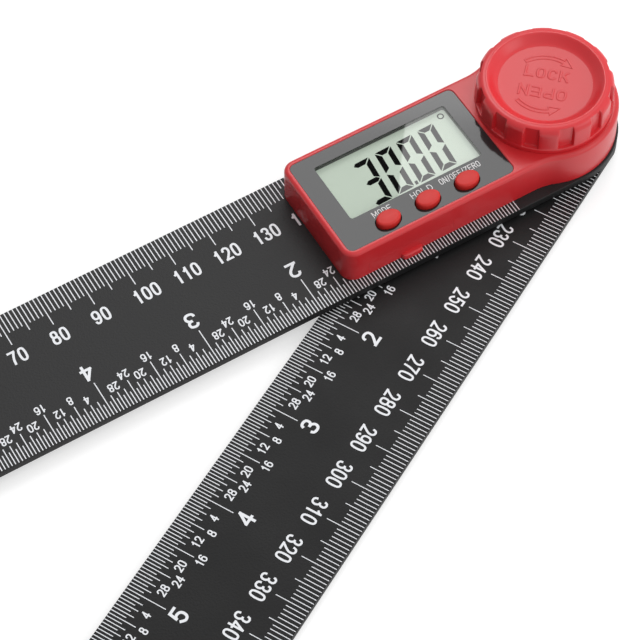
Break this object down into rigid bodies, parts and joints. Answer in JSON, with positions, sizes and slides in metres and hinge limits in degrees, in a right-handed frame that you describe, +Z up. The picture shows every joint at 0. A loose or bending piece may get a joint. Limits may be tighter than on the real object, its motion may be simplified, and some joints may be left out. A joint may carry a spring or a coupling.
{
  "type": "digital angle finder",
  "caption": "Digital angle finder: two flat ruler arms on one pivot, with a display head, oval buttons, a battery tray and a lock knob.",
  "frame": {"origin": "on the pivot axis, at the flat face of the bolt head flush with the underside of the lower arm", "axes": "+Z up along the pivot axis, the upper arm along -X, the head reads from -Y"},
  "size_m": [0.218, 0.1275, 0.0213],
  "materials": {
    "composite": "satin black glass-filled nylon",
    "red_plastic": "satin red",
    "panel": "smooth dark grey",
    "clear": "clear, polished",
    "lcd": "pale grey-green liquid crystal glass",
    "black_plastic": "matt black",
    "board": "green lacquered circuit board",
    "rubber": "black zebra strip",
    "steel": "satin",
    "brass": "satin",
    "nylon": "natural nylon"
  },
  "bodies": {
    "head": {"upper_arm": "composite", "case_screw_1": "steel", "case_screw_2": "steel", "case_screw_3": "steel", "case_screw_4": "steel", "head_shell": "red_plastic", "display_panel": "panel", "window_lens": "clear", "display_glass": "lcd", "glass_holder": "black_plastic", "contact_strip": "rubber", "circuit_board": "board", "display_chip": "black_plastic", "key_dome_mode": "steel", "key_dome_hold": "steel", "key_dome_power": "steel", "cell_contact_top": "steel", "cell_contact_rim": "steel", "clamp_washer": "steel"},
    "arm": {"lower_arm": "composite", "pivot_hub": "steel", "hub_screw_1": "steel", "hub_screw_2": "steel", "hub_screw_3": "steel", "pivot_bolt": "steel", "slip_ring": "nylon", "sensor_rotor": "board"},
    "knob": {"lock_knob": "red_plastic", "knob_insert": "brass", "knob_cap": "red_plastic"},
    "tray": {"battery_tray": "red_plastic", "coin_cell": "steel"},
    "button_mode": {"button_mode": "red_plastic"},
    "button_hold": {"button_hold": "red_plastic"},
    "button_power": {"button_power": "red_plastic"}
  },
  "joints": [
    {"name": "arm_swing", "type": "hinge", "parent": "head", "child": "arm", "pos_m": [0, 0, 0], "axis": [0, 0, 1], "continuous": true},
    {"name": "knob_turn", "type": "hinge", "parent": "arm", "child": "knob", "pos_m": [0, 0, 0], "axis": [0, 0, 1], "range_deg": [0, 180]},
    {"name": "button_mode_press", "type": "slide", "parent": "head", "child": "button_mode", "axis": [0, 0, -1], "range_m": [0, 0.0005], "stiffness_N_per_m": 1500},
    {"name": "button_hold_press", "type": "slide", "parent": "head", "child": "button_hold", "axis": [0, 0, -1], "range_m": [0, 0.0005], "stiffness_N_per_m": 1500},
    {"name": "button_power_press", "type": "slide", "parent": "head", "child": "button_power", "axis": [0, 0, -1], "range_m": [0, 0.0005], "stiffness_N_per_m": 1500},
    {"name": "tray_slide", "type": "slide", "parent": "head", "child": "tray", "axis": [0, -1, 0], "range_m": [0, 0.017]}
  ]
}
